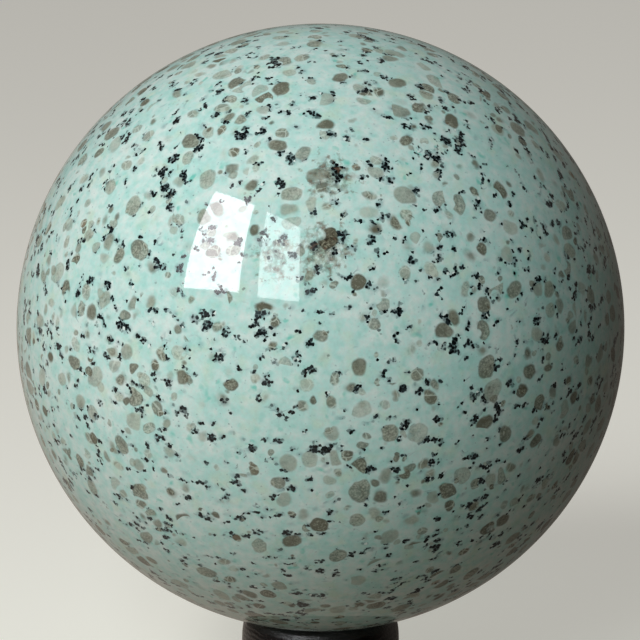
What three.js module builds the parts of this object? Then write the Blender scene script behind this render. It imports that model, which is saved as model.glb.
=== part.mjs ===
// A polished stone ball resting in a small turned wooden ring stand.
//
// Millimetres, +Z up. The origin is on the surface that the stand rests on, under the ball's centre,
// and the whole piece is round about the Z axis.

import * as THREE from "three";

// Driving dimensions.
const BALL_DIAMETER = 150;
const SEAT_GAP = 0.3; // left between the ball and its seat, all round

const BORE_RADIUS = 12.5; // the hole straight through the ring
const BORE_BEVEL = 0.6; // round the bore's lower edge
const SEAT_LIP = 0.7; // the rounded edge between the bore and the seat
const SEAT_OUTER_RADIUS = 16.2; // where the dished seat meets the bead

const BEAD_RADIUS = 19.95; // the bead is widest at BEAD_HEIGHT
const BEAD_HEIGHT = 9.4;
const BEAD_UNDERCUT = 0.57; // it draws in by this much down to the groove
const BEAD_STEEP_TO = 14.5; // its side leans in a little up to about this height
const CREST_ROLL_RADIUS = 19.6; // and rolls over to the crest from about this radius
const CREST_HEIGHT = 17.8;

const GROOVE_TOP = 5.4; // a narrow groove parts the bead from the foot
const GROOVE_BOTTOM = 4.6;
const GROOVE_DEPTH = 0.9;

const FOOT_RADIUS = 22.6;
const FOOT_WALL_TOP = 1.7; // the foot is upright below this height and rounds in above it
const FOOT_BEVEL = 0.5; // round the underside

// Facets. The ball and the ring have the same number round the axis, so that their facets line up.
const SIDES = 64;
const BALL_BANDS = 32;
const CURVE_DIVISIONS = 3; // an arc of the section gets twice as many chords
const ROLL_DIVISIONS = 8;

// Worked out from the driving dimensions.
const ballRadius = BALL_DIAMETER / 2;
const seatRadius = ballRadius + SEAT_GAP;

const ballCentreHeight =
  CREST_HEIGHT + Math.sqrt(seatRadius ** 2 - SEAT_OUTER_RADIUS ** 2);

const seatHeightAt = (radius) =>
  ballCentreHeight - Math.sqrt(seatRadius ** 2 - radius ** 2);

const stone = new THREE.MeshStandardMaterial({
  name: "polished_speckled_stone",
  color: 0xbfdcd3,
  roughness: 0.08,
  metalness: 0,
});

const darkWood = new THREE.MeshStandardMaterial({
  name: "dark_lacquered_wood",
  color: 0x1d1613,
  roughness: 0.35,
  metalness: 0,
});

// The ring's section, in (radius, height): along the underside, up the outside, over the crest,
// across the seat and down the bore.
function ringSection() {
  const seatInnerRadius = BORE_RADIUS + SEAT_LIP;
  const beadFootRadius = BEAD_RADIUS - BEAD_UNDERCUT;
  const grooveRadius = beadFootRadius - GROOVE_DEPTH;

  const outline = new THREE.Path();
  outline.moveTo(BORE_RADIUS + BORE_BEVEL, 0);
  outline.lineTo(FOOT_RADIUS - FOOT_BEVEL, 0);
  outline.lineTo(FOOT_RADIUS, FOOT_BEVEL);
  outline.lineTo(FOOT_RADIUS, FOOT_WALL_TOP);

  // The foot rounds in to the groove.
  outline.absellipse(
    beadFootRadius,
    FOOT_WALL_TOP,
    FOOT_RADIUS - beadFootRadius,
    GROOVE_BOTTOM - FOOT_WALL_TOP,
    0,
    Math.PI / 2,
    false,
  );
  outline.lineTo(grooveRadius, GROOVE_BOTTOM);
  outline.lineTo(grooveRadius, GROOVE_TOP);
  outline.lineTo(beadFootRadius, GROOVE_TOP);

  // The bead swells to its widest, then its steep side rolls over to the crest.
  outline.quadraticCurveTo(
    BEAD_RADIUS,
    (GROOVE_TOP + BEAD_HEIGHT) / 2,
    BEAD_RADIUS,
    BEAD_HEIGHT,
  );
  const roll = new THREE.CubicBezierCurve(
    new THREE.Vector2(BEAD_RADIUS, BEAD_HEIGHT),
    new THREE.Vector2(BEAD_RADIUS, BEAD_STEEP_TO),
    new THREE.Vector2(CREST_ROLL_RADIUS, CREST_HEIGHT),
    new THREE.Vector2(SEAT_OUTER_RADIUS, CREST_HEIGHT),
  );
  for (const point of roll.getPoints(ROLL_DIVISIONS).slice(1)) {
    outline.lineTo(point.x, point.y);
  }

  // The seat is dished to the ball's own curve.
  outline.absarc(
    0,
    ballCentreHeight,
    seatRadius,
    -Math.acos(SEAT_OUTER_RADIUS / seatRadius),
    -Math.acos(seatInnerRadius / seatRadius),
    true,
  );
  outline.quadraticCurveTo(
    BORE_RADIUS,
    seatHeightAt(BORE_RADIUS),
    BORE_RADIUS,
    seatHeightAt(BORE_RADIUS) - SEAT_LIP,
  );
  outline.lineTo(BORE_RADIUS, BORE_BEVEL);
  outline.closePath();
  return outline.getPoints(CURVE_DIVISIONS);
}

function makeBall() {
  const geometry = new THREE.SphereGeometry(ballRadius, SIDES, BALL_BANDS);
  const ball = new THREE.Mesh(geometry, stone);
  ball.name = "stone_ball";
  ball.rotation.x = Math.PI / 2; // the sphere's poles are on its own Y axis
  ball.position.z = ballCentreHeight;
  return ball;
}

function makeRingStand() {
  const geometry = new THREE.LatheGeometry(ringSection(), SIDES);
  const ring = new THREE.Mesh(geometry, darkWood);
  ring.name = "ring_stand";
  ring.rotation.x = Math.PI / 2; // a lathe turns about its own Y axis
  return ring;
}

const ballOnStand = new THREE.Group();
ballOnStand.add(makeBall(), makeRingStand());

export default ballOnStand;
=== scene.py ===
import math

import bmesh
import bpy
from mathutils import Matrix, Vector


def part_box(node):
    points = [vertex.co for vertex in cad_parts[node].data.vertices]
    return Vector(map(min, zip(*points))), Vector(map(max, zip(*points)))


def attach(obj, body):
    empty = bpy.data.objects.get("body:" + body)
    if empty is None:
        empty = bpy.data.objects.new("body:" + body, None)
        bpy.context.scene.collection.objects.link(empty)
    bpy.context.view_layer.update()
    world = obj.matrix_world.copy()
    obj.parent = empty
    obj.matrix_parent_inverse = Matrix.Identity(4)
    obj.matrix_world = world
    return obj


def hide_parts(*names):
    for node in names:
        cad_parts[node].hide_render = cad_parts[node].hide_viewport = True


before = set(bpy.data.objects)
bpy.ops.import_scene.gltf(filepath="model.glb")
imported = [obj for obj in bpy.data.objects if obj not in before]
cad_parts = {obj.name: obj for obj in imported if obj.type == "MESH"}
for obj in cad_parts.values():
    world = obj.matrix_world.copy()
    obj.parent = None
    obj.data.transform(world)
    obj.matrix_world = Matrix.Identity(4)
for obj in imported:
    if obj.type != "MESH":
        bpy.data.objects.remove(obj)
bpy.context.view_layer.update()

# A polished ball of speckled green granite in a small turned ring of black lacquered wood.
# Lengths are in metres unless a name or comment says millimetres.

MM = 0.001

# The ball and the ring where the frame has them.
BALL_LOW, BALL_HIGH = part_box("stone_ball")
RING_LOW, RING_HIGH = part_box("ring_stand")
BALL_CENTRE = (BALL_LOW + BALL_HIGH) / 2
BALL_RADIUS = (BALL_HIGH.z - BALL_LOW.z) / 2
FOOT_RADIUS = RING_HIGH.x
RING_HEIGHT = RING_HIGH.z

# The turned section of the ring.
BORE_RADIUS = 12.5 * MM
BORE_BEVEL = 0.6 * MM
SEAT_LIP = 0.7 * MM
SEAT_GAP = 0.3 * MM
CREST_RADIUS = 16.2 * MM
BEAD_RADIUS = 19.95 * MM
BEAD_HEIGHT = 9.4 * MM
BEAD_UNDERCUT = 0.57 * MM
BEAD_STEEP_TO = 14.5 * MM
CREST_ROLL_RADIUS = 19.6 * MM
GROOVE_TOP = 5.4 * MM
GROOVE_BOTTOM = 4.6 * MM
GROOVE_DEPTH = 0.9 * MM
FOOT_WALL_TOP = 1.7 * MM
FOOT_BEVEL = 0.5 * MM

# How finely the meshes are divided.
BALL_SUBDIVISIONS = 7
RING_SIDES = 192
CREASE_ANGLE = math.radians(35)

# The camera. How wide the ball shows and how far it is off the middle are shares of the frame's width.
VIEW_ELEVATION = math.radians(12)
VIEW_DISTANCE = 9 * BALL_RADIUS
BALL_SHARE_OF_FRAME = 0.95
BALL_BELOW_MIDDLE = 0.0117
BALL_RIGHT_OF_MIDDLE = 0.0008


def linear(code):
    """The linear colour of an sRGB hex code."""
    parts = [int(code[i : i + 2], 16) / 255 for i in (0, 2, 4)]
    return [p / 12.92 if p <= 0.04045 else ((p + 0.055) / 1.055) ** 2.4 for p in parts] + [1]


def put(tree, kind, inputs=(), **settings):
    """Adds a node with its settings and inputs. An input is a value, a node or a node's output."""
    made = tree.nodes.new("ShaderNode" + kind)
    for name, value in settings.items():
        setattr(made, name, value)
    sockets = [socket for socket in made.inputs if socket.enabled]
    for name, value in inputs.items() if isinstance(inputs, dict) else enumerate(inputs):
        socket = sockets[name] if isinstance(name, int) else next(s for s in sockets if s.name == name)
        if isinstance(value, bpy.types.Node):
            value = next(output for output in value.outputs if output.enabled)
        if isinstance(value, bpy.types.NodeSocket):
            tree.links.new(value, socket)
        else:
            socket.default_value = value
    return made


def direction(azimuth, elevation):
    """The way from the ball's middle, by degrees: azimuth 0 is the front, and 90 the right side."""
    azimuth, elevation = math.radians(azimuth), math.radians(elevation)
    level = math.cos(elevation)
    return Vector((math.sin(azimuth) * level, -math.cos(azimuth) * level, math.sin(elevation)))


def new_material(name):
    """A material by its name, with an empty tree of nodes."""
    made = bpy.data.materials.new(name)
    made.use_nodes = True
    made.node_tree.nodes.clear()
    return made, made.node_tree


# ---------------------------------------------------------------- the stone

FELDSPAR_GREEN = linear("bce0d8")
FELDSPAR_WHITE = linear("dde9e2")
FELDSPAR_AQUA = linear("a8d9cf")
FELDSPAR_SALLOW = linear("cfdfc6")
AMAZONITE_FLECK = linear("66c4b3")
QUARTZ_DARK = linear("625d4b")
QUARTZ_PALE = linear("b5b6a2")
QUARTZ_RUSTY = linear("80694f")
QUARTZ_CRACK = linear("ccd4c4")
MICA_BLACK = linear("070d0e")
MICA_GREY = linear("2c3739")
MICA_HAZE = linear("7b9398")
STAIN_DARK = linear("7a6c68")
STAIN_PALE = linear("dcd4cc")
STAIN_RUST = linear("7a5e4c")

# In millimetres.
FLAKE = 0.62  # the size of a mica flake
NOWHERE = -10  # a depth far outside any grain

# Where iron has stained the stone: azimuth and elevation in degrees, and radius in millimetres.
STAINS = ((0.5, 25.5, 5.6), (-8, 24, 4.4), (2, 38.5, 5.0))


def scaled(tree, place, millimetres):
    """The place in units of so many millimetres."""
    return put(tree, "VectorMath", {"Vector": place, "Scale": 1 / millimetres}, operation="SCALE")


def nudged(tree, place, size, reach):
    """The place moved by up to half the reach, by a noise of the given size, so that outlines wander."""
    noise = put(tree, "TexNoise", {"Vector": place, "Scale": 1 / size, "Detail": 1})
    either_way = put(tree, "VectorMath", [noise.outputs["Color"], (0.5, 0.5, 0.5)], operation="SUBTRACT")
    return put(tree, "VectorMath", [either_way, (reach,) * 3, place], operation="MULTIPLY_ADD")


def feldspar(tree, place, bent):
    """Mint feldspar: clouds of white and aqua, a fine mottle of crystals and flecks of richer green."""
    clouds = put(tree, "TexNoise", {"Vector": place, "Scale": 1 / 11, "Detail": 2, "Roughness": 0.5})
    patches = put(tree, "TexNoise", {"Vector": place, "Scale": 1 / 2.4, "Detail": 4, "Roughness": 0.6})
    cloudy = put(tree, "Math", [clouds, 0.5, patches], operation="MULTIPLY_ADD")
    white = put(tree, "MapRange", {"Value": cloudy, "From Min": 0.84, "From Max": 0.56, "To Max": 0.9})
    colour = put(tree, "Mix", {"Factor": white, "A": FELDSPAR_GREEN, "B": FELDSPAR_WHITE}, data_type="RGBA")
    aqua = put(tree, "MapRange", {"Value": cloudy, "From Min": 0.8, "From Max": 1.05, "To Max": 0.6})
    colour = put(tree, "Mix", {"Factor": aqua, "A": colour, "B": FELDSPAR_AQUA}, data_type="RGBA")
    tints = put(tree, "TexNoise", {"Vector": bent, "Scale": 1 / 5.5, "Detail": 2, "Roughness": 0.5})
    sallow = put(tree, "MapRange", {"Value": tints, "From Min": 0.56, "From Max": 0.72, "To Max": 0.5})
    colour = put(tree, "Mix", {"Factor": sallow, "A": colour, "B": FELDSPAR_SALLOW}, data_type="RGBA")
    mottle = put(tree, "TexNoise", {"Vector": place, "Scale": 1 / 0.6, "Detail": 3, "Roughness": 0.6})
    shade = put(tree, "MapRange", {"Value": mottle, "From Min": 0.3, "From Max": 0.7,
                                   "To Min": 0.92, "To Max": 1.05})
    colour = put(tree, "VectorMath", {"Vector": colour, "Scale": shade}, operation="SCALE")

    # Faint flecks are many and bright ones are few.
    for size, threshold, strength in ((2.0, 0.57, 0.2), (3.0, 0.68, 0.8)):
        flecks = put(tree, "TexNoise", {"Vector": bent, "Scale": 1 / size, "Detail": 1.5, "Roughness": 0.5})
        fleck = put(tree, "MapRange", {"Value": flecks, "From Min": threshold, "From Max": threshold + 0.12,
                                       "To Max": strength})
        colour = put(tree, "Mix", {"Factor": fleck, "A": colour, "B": AMAZONITE_FLECK}, data_type="RGBA")

    # Specks of dark dust are sprinkled through it.
    dust = put(tree, "TexVoronoi", {"Vector": bent, "Scale": 1 / 1.1})
    chance = put(tree, "SeparateColor", [dust.outputs["Color"]])
    seldom = put(tree, "MapRange", {"Value": chance.outputs["Red"], "From Min": 0.55, "From Max": 0.9,
                                    "To Max": 0.5})
    speck = put(tree, "MapRange", {"Value": dust, "From Min": 0.24, "From Max": 0.08})
    speck = put(tree, "Math", [speck, seldom], operation="MULTIPLY")
    return put(tree, "Mix", {"Factor": speck, "A": colour, "B": MICA_HAZE}, data_type="RGBA")


def lumps(tree, place, spacing, radii, filled, longer):
    """Rounded lumps, one at most in each cell of the rock, each drawn out in a direction of its own.

    Gives as a dictionary, in millimetres, how deep a point lies in its lump, where it is from the lump's
    middle and the lump's radius. Then come the way that the lump is longest and three chances, from 0 to 1,
    that are the same all over it.
    """
    cells = scaled(tree, place, spacing)
    nearest = put(tree, "TexVoronoi", {"Vector": cells, "Scale": 1})
    chances = put(tree, "TexWhiteNoise", {"Vector": nearest.outputs["Color"]})
    own = put(tree, "SeparateColor", [chances.outputs["Color"]])
    away = put(tree, "VectorMath", [cells, nearest.outputs["Position"]], operation="SUBTRACT")
    away = put(tree, "VectorMath", {"Vector": away, "Scale": spacing}, operation="SCALE")
    radius = put(tree, "MapRange", {"Value": chances.outputs["Value"],
                                    "To Min": radii[0], "To Max": radii[1]})
    centred = put(tree, "VectorMath", [nearest.outputs["Color"], (0.5, 0.5, 0.5)], operation="SUBTRACT")
    long_way = put(tree, "VectorMath", [centred], operation="NORMALIZE")
    along = put(tree, "VectorMath", [away, long_way], operation="DOT_PRODUCT")
    pull = put(tree, "Math", [along, -longer], operation="MULTIPLY")
    pulled = put(tree, "VectorMath", {"Vector": long_way, "Scale": pull}, operation="SCALE")
    squeezed = put(tree, "VectorMath", [away, pulled], operation="ADD")
    reach = put(tree, "VectorMath", [squeezed], operation="LENGTH")
    depth = put(tree, "Math", [radius, reach], operation="SUBTRACT")
    empty = put(tree, "Math", [own.outputs["Red"], filled], operation="GREATER_THAN")
    depth = put(tree, "Math", [empty, NOWHERE, depth], operation="MULTIPLY_ADD")
    return {
        "cells": cells,
        "depth": depth,
        "away": away,
        "radius": radius,
        "along": along,
        "long_way": long_way,
        "red": own.outputs["Red"],
        "green": own.outputs["Green"],
        "blue": own.outputs["Blue"],
    }


def in_layers(tree, place):
    """The place with the rock's layers, which slope down to the front, level and drawn out."""
    return put(tree, "Mapping", {"Vector": place, "Rotation": (math.radians(38), math.radians(-14), 0),
                                 "Scale": (1.2, 1.2, 0.8)}, vector_type="TEXTURE")


def quartz_grains(tree, place, spacing, radii, filled):
    """Lumps that are quartz grains. Some have a bite out of the side, and two that meet keep a seam."""
    grain = lumps(tree, place, spacing, radii, filled, 0.3)
    sideways = put(tree, "VectorMath", [grain["long_way"], (0.3, -0.5, 0.8)], operation="CROSS_PRODUCT")
    sideways = put(tree, "VectorMath", [sideways], operation="NORMALIZE")
    sideways = put(tree, "VectorMath", {"Vector": sideways, "Scale": grain["radius"]}, operation="SCALE")
    from_bite = put(tree, "VectorMath", [grain["away"], sideways], operation="DISTANCE")
    bite = put(tree, "Math", [grain["radius"], -0.6, from_bite], operation="MULTIPLY_ADD")
    whole = put(tree, "Math", [grain["blue"], 0.16], operation="GREATER_THAN")
    bite = put(tree, "Math", [whole, -NOWHERE, bite], operation="MULTIPLY_ADD")
    depth = put(tree, "Math", [grain["depth"], bite, 0.3], operation="SMOOTH_MIN")
    border = put(tree, "TexVoronoi", {"Vector": grain["cells"], "Scale": 1}, feature="DISTANCE_TO_EDGE")
    border = put(tree, "Math", [border, spacing, -0.12], operation="MULTIPLY_ADD")
    grain["depth"] = put(tree, "Math", [depth, border, 0.9], operation="SMOOTH_MIN")
    return grain


def quartz_tone(tree, where, grain, depth, frost, wavy):
    """The colour inside quartz grains. Each grain has its own tone and is darker at one side and round its
    rim, and some are frosted, rusty or cracked."""
    tone = put(tree, "Math", [grain["along"], 0.1, grain["green"]], operation="MULTIPLY_ADD")
    tone = put(tree, "Math", [wavy, 0.7, tone], operation="MULTIPLY_ADD")
    frosted = put(tree, "MapRange", {"Value": grain["blue"], "From Max": 0.8, "To Min": 4.5, "To Max": 1.2})
    tone = put(tree, "Math", [frost, frosted, tone], operation="MULTIPLY_ADD")
    tone = put(tree, "MapRange", {"Value": tone, "From Min": -0.05, "From Max": 1.3})
    quartz = put(tree, "Mix", {"Factor": tone, "A": QUARTZ_DARK, "B": QUARTZ_PALE}, data_type="RGBA")
    rust = put(tree, "MapRange", {"Value": grain["red"], "From Min": 0.1, "From Max": 0.02, "To Max": 0.6})
    quartz = put(tree, "Mix", {"Factor": rust, "A": quartz, "B": QUARTZ_RUSTY}, data_type="RGBA")
    rim = put(tree, "MapRange", {"Value": depth, "From Min": 0.15, "From Max": 0.6,
                                 "To Min": 0.7, "To Max": 1})
    quartz = put(tree, "VectorMath", {"Vector": quartz, "Scale": rim}, operation="SCALE")

    # Healed cracks cross some grains as thin pale lines, and the parts differ in tone.
    cracked = put(tree, "Math", [grain["red"], 0.42], operation="LESS_THAN")
    crooked = nudged(tree, where, 0.8, 0.4)
    parts = put(tree, "TexVoronoi", {"Vector": crooked, "Scale": 1 / 2.8})
    part_tone = put(tree, "SeparateColor", [parts.outputs["Color"]])
    part_tone = put(tree, "MapRange", {"Value": part_tone, "To Min": 0.8, "To Max": 1.25})
    part_tone = put(tree, "Mix", {"Factor": cracked, "A": 1, "B": part_tone})
    quartz = put(tree, "VectorMath", {"Vector": quartz, "Scale": part_tone}, operation="SCALE")
    cracks = put(tree, "TexVoronoi", {"Vector": crooked, "Scale": 1 / 2.8}, feature="DISTANCE_TO_EDGE")
    crack = put(tree, "MapRange", {"Value": cracks, "From Min": 0.07, "From Max": 0.02, "To Max": 0.65})
    crack = put(tree, "Math", [crack, cracked], operation="MULTIPLY")
    return put(tree, "Mix", {"Factor": crack, "A": quartz, "B": QUARTZ_CRACK}, data_type="RGBA")


def with_quartz(tree, colour, place, bent, frost, wavy):
    """Lays quartz over the colour: three sets of grains, gathered in bands. The first set lies under the
    surface and shows through. Also gives how deep in the other two a place lies, in millimetres."""
    band = put(tree, "TexNoise", {"Vector": in_layers(tree, place), "Scale": 1 / 24, "Detail": 1})
    under = put(tree, "VectorMath", {"Vector": bent, "Scale": 0.985}, operation="SCALE")
    beside = put(tree, "VectorMath", [bent, (31, 17, 5)], operation="ADD")
    deepest = NOWHERE
    for where, spacing, radii, share, softness, strength in (
        (under, 5.6, (1.2, 2.4), 0.8, (0.8, 1.5), 0.45),
        (bent, 5.6, (1.3, 2.6), 0.9, (0.3, 0.7), 0.95),
        (beside, 4.6, (0.6, 1.7), 0.65, (0.2, 0.5), 0.95),
    ):
        filled = put(tree, "MapRange", {"Value": band, "From Min": 0.35, "From Max": 0.65,
                                        "To Min": share * 0.65, "To Max": share * 1.35})
        grain = quartz_grains(tree, where, spacing, radii, filled)
        depth = put(tree, "Math", [frost, 0.25, grain["depth"]], operation="MULTIPLY_ADD")
        soft = put(tree, "MapRange", {"Value": grain["blue"], "To Min": softness[0], "To Max": softness[1]})
        inside = put(tree, "MapRange", {"Value": depth, "From Max": soft}, interpolation_type="SMOOTHSTEP")
        shown = put(tree, "MapRange", {"Value": grain["green"],
                                       "To Min": strength, "To Max": strength * 0.55})
        part = put(tree, "Math", [inside, shown], operation="MULTIPLY")
        quartz = quartz_tone(tree, where, grain, depth, frost, wavy)
        colour = put(tree, "Mix", {"Factor": part, "A": colour, "B": quartz}, data_type="RGBA")
        if where is not under:
            deepest = put(tree, "Math", [deepest, depth], operation="MAXIMUM")
    return colour, deepest


def mica_clusters(tree, place):
    """How deep in a cluster of mica a place lies, in millimetres. The clusters keep to strings that run
    along the layers."""
    layered = in_layers(tree, place)
    strings = put(tree, "TexNoise", {"Vector": layered, "Scale": 1 / 9, "Detail": 2, "Roughness": 0.5})
    off_string = put(tree, "Math", [strings, 0.5], operation="SUBTRACT")
    off_string = put(tree, "Math", [off_string], operation="ABSOLUTE")
    frayed = nudged(tree, layered, 1.8, 0.9)
    aside = put(tree, "VectorMath", [frayed, (53, 7, 19)], operation="ADD")
    deepest = NOWHERE
    for where, spacing, radii, near_string, far_off in (
        (frayed, 3.4, (0.6, 1.5), 0.8, 0.07),
        (aside, 2.4, (0.3, 1.0), 0.6, 0.12),
    ):
        filled = put(tree, "MapRange", {"Value": off_string, "From Min": 0.0, "From Max": 0.12,
                                        "To Min": near_string, "To Max": far_off})
        depth = lumps(tree, where, spacing, radii, filled, 0.3)["depth"]
        deepest = put(tree, "Math", [deepest, depth], operation="MAXIMUM")
    return deepest


def with_mica(tree, colour, place, quartz_depth):
    """Lays mica over the colour: black flakes, packed in ragged clusters, over the edges of the quartz but
    seldom inside it, with a painted white glint on a few flakes. Also gives where the flakes are."""
    in_flakes = scaled(tree, nudged(tree, place, 0.7, 0.25), FLAKE)
    flakes = put(tree, "TexVoronoi", {"Vector": in_flakes, "Scale": 1})
    flake_middle = put(tree, "VectorMath", {"Vector": flakes.outputs["Position"], "Scale": FLAKE},
                       operation="SCALE")
    own = put(tree, "SeparateColor", [flakes.outputs["Color"]])
    buried = put(tree, "MapRange", {"Value": quartz_depth, "From Min": 0.1, "From Max": 0.9,
                                    "To Max": -1.2})
    depth = put(tree, "Math", [mica_clusters(tree, flake_middle), buried], operation="ADD")
    depth = put(tree, "Math", [own.outputs["Red"], 0.35, depth], operation="MULTIPLY_ADD")
    there = put(tree, "MapRange", {"Value": depth, "From Min": 0, "From Max": 0.15})
    flake = put(tree, "MapRange", {"Value": flakes, "From Min": 1.05, "From Max": 0.52},
                interpolation_type="SMOOTHSTEP")
    black = put(tree, "Math", [flake, there], operation="MULTIPLY")
    lighter = put(tree, "MapRange", {"Value": own.outputs["Green"], "From Min": 0.4, "From Max": 1})
    mica = put(tree, "Mix", {"Factor": lighter, "A": MICA_BLACK, "B": MICA_GREY}, data_type="RGBA")
    # A few flakes turn white: painted glints, as if a cleavage face caught the light.
    painted_glint = put(tree, "MapRange", {"Value": own.outputs["Blue"], "From Min": 0.972, "From Max": 0.982})
    mica = put(tree, "Mix", {"Factor": painted_glint, "A": mica, "B": FELDSPAR_WHITE}, data_type="RGBA")
    return put(tree, "Mix", {"Factor": black, "A": colour, "B": mica}, data_type="RGBA"), black


def with_iron_stains(tree, colour, bent, frost, wavy):
    """Stains the colour in a few places, where the stone is a crumble of grey, rust and pale grains."""
    stained = NOWHERE
    for azimuth, elevation, size in STAINS:
        middle = direction(azimuth, elevation) * BALL_RADIUS / MM
        off_middle = put(tree, "VectorMath", [bent, middle], operation="DISTANCE")
        inward = put(tree, "Math", [size, off_middle], operation="SUBTRACT")
        stained = put(tree, "Math", [stained, inward], operation="MAXIMUM")
    stain = put(tree, "Math", [wavy, 14, stained], operation="MULTIPLY_ADD")
    stain = put(tree, "Math", [frost, 10, stain], operation="MULTIPLY_ADD")
    stain = put(tree, "MapRange", {"Value": stain, "From Min": 0, "From Max": 3, "To Max": 0.95})
    shade = put(tree, "MapRange", {"Value": frost, "From Min": -0.12, "From Max": 0.12})
    shade = put(tree, "Mix", {"Factor": shade, "A": STAIN_DARK, "B": STAIN_PALE}, data_type="RGBA")
    iron = put(tree, "Mix", {"Factor": 1, "A": colour, "B": shade}, data_type="RGBA", blend_type="MULTIPLY")
    rusty = put(tree, "MapRange", {"Value": wavy, "From Min": 0.12, "From Max": 0.2, "To Max": 0.55})
    iron = put(tree, "Mix", {"Factor": rusty, "A": iron, "B": STAIN_RUST}, data_type="RGBA")
    return put(tree, "Mix", {"Factor": stain, "A": colour, "B": iron}, data_type="RGBA")


def polished_amazonite_granite():
    """Amazonite granite, ground and polished: mint feldspar, round grey quartz and black mica, all with a
    mirror gloss."""
    material, tree = new_material("polished_amazonite_granite")

    # Millimetres from the ball's middle.
    coordinates = put(tree, "TexCoord")
    place = put(tree, "Mapping", {"Vector": coordinates.outputs["Object"],
                                  "Location": -BALL_CENTRE / MM, "Scale": (1 / MM,) * 3})
    bent = nudged(tree, place, 2.4, 0.9)
    frost = put(tree, "TexNoise", {"Vector": place, "Scale": 1 / 0.5, "Detail": 2, "Roughness": 0.6})
    frost = put(tree, "Math", [frost, 0.5], operation="SUBTRACT")
    wavy = put(tree, "TexNoise", {"Vector": place, "Scale": 1 / 1.6, "Detail": 1})
    wavy = put(tree, "Math", [wavy, 0.5], operation="SUBTRACT")

    # Mica shows through the feldspar over it as a blue-grey haze.
    haze = put(tree, "MapRange", {"Value": mica_clusters(tree, place), "From Min": -0.7, "From Max": 0.4,
                                  "To Max": 0.55}, interpolation_type="SMOOTHSTEP")
    colour = feldspar(tree, place, bent)
    colour = put(tree, "Mix", {"Factor": haze, "A": colour, "B": MICA_HAZE}, data_type="RGBA")
    colour, quartz_depth = with_quartz(tree, colour, place, bent, frost, wavy)
    colour, black = with_mica(tree, colour, place, quartz_depth)
    colour = with_iron_stains(tree, colour, bent, frost, wavy)

    roughness = put(tree, "MapRange", {"Value": black, "To Min": 0.035, "To Max": 0.2})
    shader = put(tree, "BsdfPrincipled", {"Base Color": colour, "Roughness": roughness, "IOR": 1.54})
    put(tree, "OutputMaterial", {"Surface": shader})
    return material


# ---------------------------------------------------------------- the wood

WOOD_BLACK = linear("0e0a09")
WOOD_BROWN = linear("2e1d16")
WOOD_WORN = linear("43302a")


def lacquered_ebonised_wood():
    """Close-grained wood, turned, stained black and lacquered: near black with brown in the grain, a gloss
    broken by the pores and the tool's fine rings, and brown showing where the lacquer has worn thin."""
    material, tree = new_material("lacquered_ebonised_wood")
    coordinates = put(tree, "TexCoord")
    place = put(tree, "Mapping", {"Vector": coordinates.outputs["Object"], "Scale": (1 / MM,) * 3})

    # The grain runs level, from side to side, and is finer across than along.
    along = put(tree, "Mapping", {"Vector": place, "Scale": (1 / 9, 1 / 0.7, 1 / 0.7)})
    grain = put(tree, "TexNoise", {"Vector": along, "Scale": 1, "Detail": 3, "Roughness": 0.6})
    brown = put(tree, "MapRange", {"Value": grain, "From Min": 0.48, "From Max": 0.72})
    colour = put(tree, "Mix", {"Factor": brown, "A": WOOD_BLACK, "B": WOOD_BROWN}, data_type="RGBA")
    pores = put(tree, "Mapping", {"Vector": place, "Scale": (1 / 2.4, 1 / 0.25, 1 / 0.25)})
    pores = put(tree, "TexNoise", {"Vector": pores, "Scale": 1, "Detail": 1})
    pore = put(tree, "MapRange", {"Value": pores, "From Min": 0.62, "From Max": 0.7})
    colour = put(tree, "Mix", {"Factor": pore, "A": colour, "B": WOOD_BLACK}, data_type="RGBA")

    # The lacquer is worn thin in patches where the bead is widest and along the foot's edge.
    height = put(tree, "SeparateXYZ", [place])
    patchy = put(tree, "TexNoise", {"Vector": place, "Scale": 1 / 4, "Detail": 4, "Roughness": 0.65})
    for level in (BEAD_HEIGHT / MM, FOOT_WALL_TOP / MM):
        off_level = put(tree, "Math", [height.outputs["Z"], level], operation="SUBTRACT")
        off_level = put(tree, "Math", [off_level], operation="ABSOLUTE")
        near = put(tree, "Math", [off_level, -0.06, patchy], operation="MULTIPLY_ADD")
        worn = put(tree, "MapRange", {"Value": near, "From Min": 0.5, "From Max": 0.64, "To Max": 0.6})
        colour = put(tree, "Mix", {"Factor": worn, "A": colour, "B": WOOD_WORN}, data_type="RGBA")

    # The turning tool left shallow rings. Real ones lie closer: these are about a millimetre apart, so that
    # they show. The relief is in millimetres.
    shaky = put(tree, "Math", [patchy, 1.5, height.outputs["Z"]], operation="MULTIPLY_ADD")
    rings = put(tree, "Math", [shaky, math.tau / 1.1], operation="MULTIPLY")
    rings = put(tree, "Math", [rings], operation="SINE")
    relief = put(tree, "Math", [grain, 0.06], operation="MULTIPLY")
    relief = put(tree, "Math", [rings, 0.03, relief], operation="MULTIPLY_ADD")
    relief = put(tree, "Math", [pore, -0.03, relief], operation="MULTIPLY_ADD")
    relief = put(tree, "Math", [patchy, 0.15, relief], operation="MULTIPLY_ADD")
    bump = put(tree, "Bump", {"Height": relief, "Strength": 1, "Distance": MM})
    roughness = put(tree, "MapRange", {"Value": patchy, "From Min": 0.35, "From Max": 0.65,
                                       "To Min": 0.28, "To Max": 0.5})
    shader = put(tree, "BsdfPrincipled", {"Base Color": colour, "Roughness": roughness, "Normal": bump,
                                          "IOR": 1.5, "Specular IOR Level": 0.2, "Coat Weight": 0.6,
                                          "Coat Roughness": 0.14, "Coat Normal": bump})
    put(tree, "OutputMaterial", {"Surface": shader})
    return material


def matt_pale_board():
    """Painted board: an even pale grey without gloss."""
    material, tree = new_material("matt_pale_board")
    shader = put(tree, "BsdfPrincipled", {"Base Color": linear("d0d2c6"), "Roughness": 0.7,
                                          "Emission Color": linear("d6d4cd"), "Emission Strength": 0.62})
    put(tree, "OutputMaterial", {"Surface": shader})
    return material


# ---------------------------------------------------------------- the pieces


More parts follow.
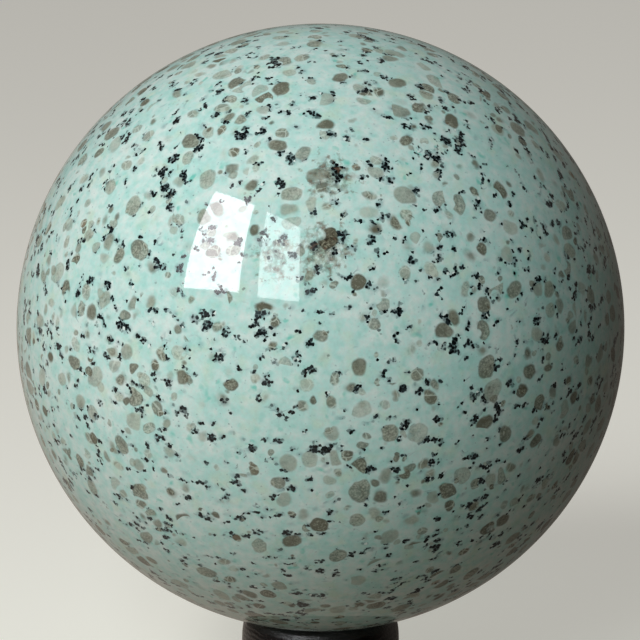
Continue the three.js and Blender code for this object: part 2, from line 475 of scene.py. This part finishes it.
def finish_piece(name, model, material, crease_angle=math.pi):
    """Turns a modelled shape into a piece with its material, shaded smooth except along creases."""
    bmesh.ops.remove_doubles(model, verts=model.verts, dist=0.001 * MM)
    bmesh.ops.recalc_face_normals(model, faces=model.faces)
    for face in model.faces:
        face.smooth = True
    for edge in model.edges:
        edge.smooth = edge.calc_face_angle(0) < crease_angle
    mesh = bpy.data.meshes.new(name)
    model.to_mesh(mesh)
    model.free()
    mesh.materials.append(material)
    piece = bpy.data.objects.new(name, mesh)
    bpy.context.scene.collection.objects.link(piece)
    return piece


def make_ball(material):
    """The ball, in even small triangles, so that its edge and its polish show no facets."""
    model = bmesh.new()
    bmesh.ops.create_icosphere(model, subdivisions=BALL_SUBDIVISIONS, radius=BALL_RADIUS,
                               matrix=Matrix.Translation(BALL_CENTRE))
    return finish_piece("polished_ball", model, material)


def arc(centre, radii, start, stop, steps):
    """Points on part of an ellipse, from one angle to another, without the first."""
    angles = [start + (stop - start) * step / steps for step in range(1, steps + 1)]
    return [(centre[0] + radii[0] * math.cos(a), centre[1] + radii[1] * math.sin(a)) for a in angles]


def curve(handles, steps):
    """Points on the smooth curve that the handles steer, without the first."""
    points = []
    for step in range(1, steps + 1):
        row = [Vector(handle) for handle in handles]
        while len(row) > 1:
            row = [one.lerp(other, step / steps) for one, other in zip(row, row[1:])]
        points.append(tuple(row[0]))
    return points


def ring_outline():
    """The ring's turned section as (radius, height): from the underside up the outside, over the crest,
    across the seat and down the bore."""
    neck_radius = BEAD_RADIUS - BEAD_UNDERCUT
    seat_inner = BORE_RADIUS + SEAT_LIP

    def seat_height(radius):
        return BALL_CENTRE.z - math.sqrt((BALL_RADIUS + SEAT_GAP) ** 2 - radius**2)

    points = [(BORE_RADIUS + BORE_BEVEL, 0), (FOOT_RADIUS - FOOT_BEVEL, 0)]
    points += arc((FOOT_RADIUS - FOOT_BEVEL, FOOT_BEVEL), (FOOT_BEVEL, FOOT_BEVEL), -math.pi / 2, 0, 4)
    points.append((FOOT_RADIUS, FOOT_WALL_TOP))
    points += arc((neck_radius, FOOT_WALL_TOP), (FOOT_RADIUS - neck_radius, GROOVE_BOTTOM - FOOT_WALL_TOP),
                  0, math.pi / 2, 8)
    points += [(neck_radius - GROOVE_DEPTH, GROOVE_BOTTOM), (neck_radius - GROOVE_DEPTH, GROOVE_TOP)]

    # The bead swells to its widest, then its steep side rolls over to the crest.
    neck = (neck_radius, GROOVE_TOP)
    widest = (BEAD_RADIUS, BEAD_HEIGHT)
    points += [neck] + curve([neck, (BEAD_RADIUS, (GROOVE_TOP + BEAD_HEIGHT) / 2), widest], 8)
    points += curve([widest, (BEAD_RADIUS, BEAD_STEEP_TO), (CREST_ROLL_RADIUS, RING_HEIGHT),
                     (CREST_RADIUS, RING_HEIGHT)], 28)[:-1]

    # The seat is dished to the ball's own curve.
    steps = 6
    for step in range(steps + 1):
        radius = CREST_RADIUS + (seat_inner - CREST_RADIUS) * step / steps
        points.append((radius, seat_height(radius)))
    points += [(BORE_RADIUS, seat_height(BORE_RADIUS) - SEAT_LIP), (BORE_RADIUS, BORE_BEVEL)]
    return points


def make_ring(material):
    """The ring: its section turned once round the upright axis."""
    model = bmesh.new()
    corners = [model.verts.new((radius, 0, height)) for radius, height in ring_outline()]
    section = [model.edges.new(pair) for pair in zip(corners, corners[1:] + corners[:1])]
    bmesh.ops.spin(model, geom=corners + section, cent=(0, 0, 0), axis=(0, 0, 1), angle=math.tau,
                   steps=RING_SIDES, use_merge=True)
    return finish_piece("turned_ring", model, material, CREASE_ANGLE)


def make_floor(material):
    """A plain surface for the ring to stand on. It is stage, and no part of the object."""
    model = bmesh.new()
    bmesh.ops.create_grid(model, x_segments=1, y_segments=1, size=6)
    return finish_piece("floor", model, material)


# ---------------------------------------------------------------- light and camera


def soft_light(name, towards, distance, size, power, colour, facing=None, roll=0):
    """A rectangular soft light. Where it is, and where its back faces, are azimuth and elevation in
    degrees round the ball. Without a way to face it looks at the ball."""
    light = bpy.data.lights.new(name, "AREA")
    light.shape = "RECTANGLE"
    light.size, light.size_y = size
    light.energy = power
    light.color = linear(colour)[:3]
    lamp = bpy.data.objects.new(name, light)
    turned = direction(*(facing or towards)).to_track_quat("Z", "Y").to_matrix().to_4x4()
    rolled = Matrix.Rotation(math.radians(roll), 4, "Z")
    lamp.matrix_world = Matrix.Translation(BALL_CENTRE + direction(*towards) * distance) @ turned @ rolled
    bpy.context.scene.collection.objects.link(lamp)
    return lamp


def group(name, pieces):
    """Pieces by one name, for a light that is kept to them."""
    made = bpy.data.collections.new(name)
    for piece in pieces:
        made.objects.link(piece)
    return made


def light_scene(ball, ring):
    """A tall window in front on the left, a dimmer one beside it, fills, the ring's own light and the
    room."""
    soft_light("window", towards=(-45.2, 39.7), distance=1.2, size=(0.4, 0.775), power=10.6,
               colour="fdf9fd", facing=(-56.4, 7.4), roll=11.3)
    soft_light("far_window", towards=(-16.4, 36.9), distance=1.23, size=(0.37, 0.675), power=5,
               colour="f3fdff", facing=(-54.2, 6.9), roll=11.6)

    # The fills light only the ball, so that the floor stays even, and the polish doesn't mirror them.
    front = soft_light("front_fill", towards=(-25, 30), distance=1.8, size=(1, 1), power=4.2,
                       colour="c4fff1")
    back = soft_light("back_fill", towards=(180, 20), distance=1.8, size=(1.2, 1.2), power=18,
                      colour="e4f3f6")
    on_the_ball = group("on_the_ball", [ball])
    for fill in (front, back):
        fill.visible_glossy = False
        fill.light_linking.receiver_collection = on_the_ball

    # The ring has a light of its own, which the ball doesn't shade, so that its gloss shows.
    gloss = soft_light("ring_gloss", towards=(-42, 47), distance=1.2, size=(0.8, 0.3), power=14,
                       colour="f9fcff")
    gloss.visible_diffuse = False
    gloss.light_linking.receiver_collection = group("on_the_ring", [ring])
    gloss.light_linking.blocker_collection = group("shades_the_ring", [ring])

    # The room: below, the warm light that a table top sends back, most of it on the left; above, a little
    # from behind. The camera sees an even pale wall instead.
    world = bpy.data.worlds.new("studio")
    world.use_nodes = True
    tree = world.node_tree
    tree.nodes.clear()
    way = put(tree, "SeparateXYZ", [put(tree, "TexCoord").outputs["Generated"]])
    left = put(tree, "MapRange", {"Value": way.outputs["X"], "From Min": 0.2, "From Max": -0.2,
                                  "To Min": 0.08, "To Max": 0.34})
    below = put(tree, "MapRange", {"Value": way.outputs["Z"], "From Min": 0.05, "From Max": -0.1})
    table_top = put(tree, "Math", [left, below], operation="MULTIPLY")
    behind = put(tree, "MapRange", {"Value": way.outputs["Y"], "From Min": 0.1, "From Max": 0.4,
                                    "To Max": 0.13})
    above = put(tree, "Math", [1, below], operation="SUBTRACT")
    strength = put(tree, "Math", [behind, above, table_top], operation="MULTIPLY_ADD")
    glow = put(tree, "Background", {"Color": linear("fff1e1"), "Strength": strength})
    wall = put(tree, "Background", {"Color": linear("cfcdc8"), "Strength": 1})
    seen = put(tree, "LightPath")
    room = put(tree, "MixShader", [seen.outputs["Is Camera Ray"], glow, wall])
    put(tree, "OutputWorld", {"Surface": room})
    bpy.context.scene.world = world
    bpy.context.scene.view_settings.view_transform = "Standard"


def add_camera():
    """The camera is in front and a little above, and the ball fills most of the frame."""
    data = bpy.data.cameras.new("camera")
    data.sensor_width = 36
    half_ball = math.tan(math.asin(BALL_RADIUS / VIEW_DISTANCE))
    data.lens = data.sensor_width * BALL_SHARE_OF_FRAME / 2 / half_ball
    frame_width = VIEW_DISTANCE * data.sensor_width / data.lens
    camera = bpy.data.objects.new("camera", data)
    back = Vector((0, -math.cos(VIEW_ELEVATION), math.sin(VIEW_ELEVATION)))
    up = Vector((0, math.sin(VIEW_ELEVATION), math.cos(VIEW_ELEVATION)))
    aim = BALL_CENTRE + (up * BALL_BELOW_MIDDLE - Vector((1, 0, 0)) * BALL_RIGHT_OF_MIDDLE) * frame_width
    place = BALL_CENTRE + back * VIEW_DISTANCE
    turned = (place - aim).to_track_quat("Z", "Y").to_matrix().to_4x4()
    camera.matrix_world = Matrix.Translation(place) @ turned
    bpy.context.scene.collection.objects.link(camera)
    bpy.context.scene.camera = camera


ball = make_ball(polished_amazonite_granite())
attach(ball, "root")
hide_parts("stone_ball")

ring = make_ring(lacquered_ebonised_wood())
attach(ring, "root")
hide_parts("ring_stand")

floor = make_floor(matt_pale_board())
# The light from below is the room's own, so that the floor's brightness can be set for itself.
floor.visible_diffuse = floor.visible_glossy = floor.visible_shadow = False
light_scene(ball, ring)
add_camera()
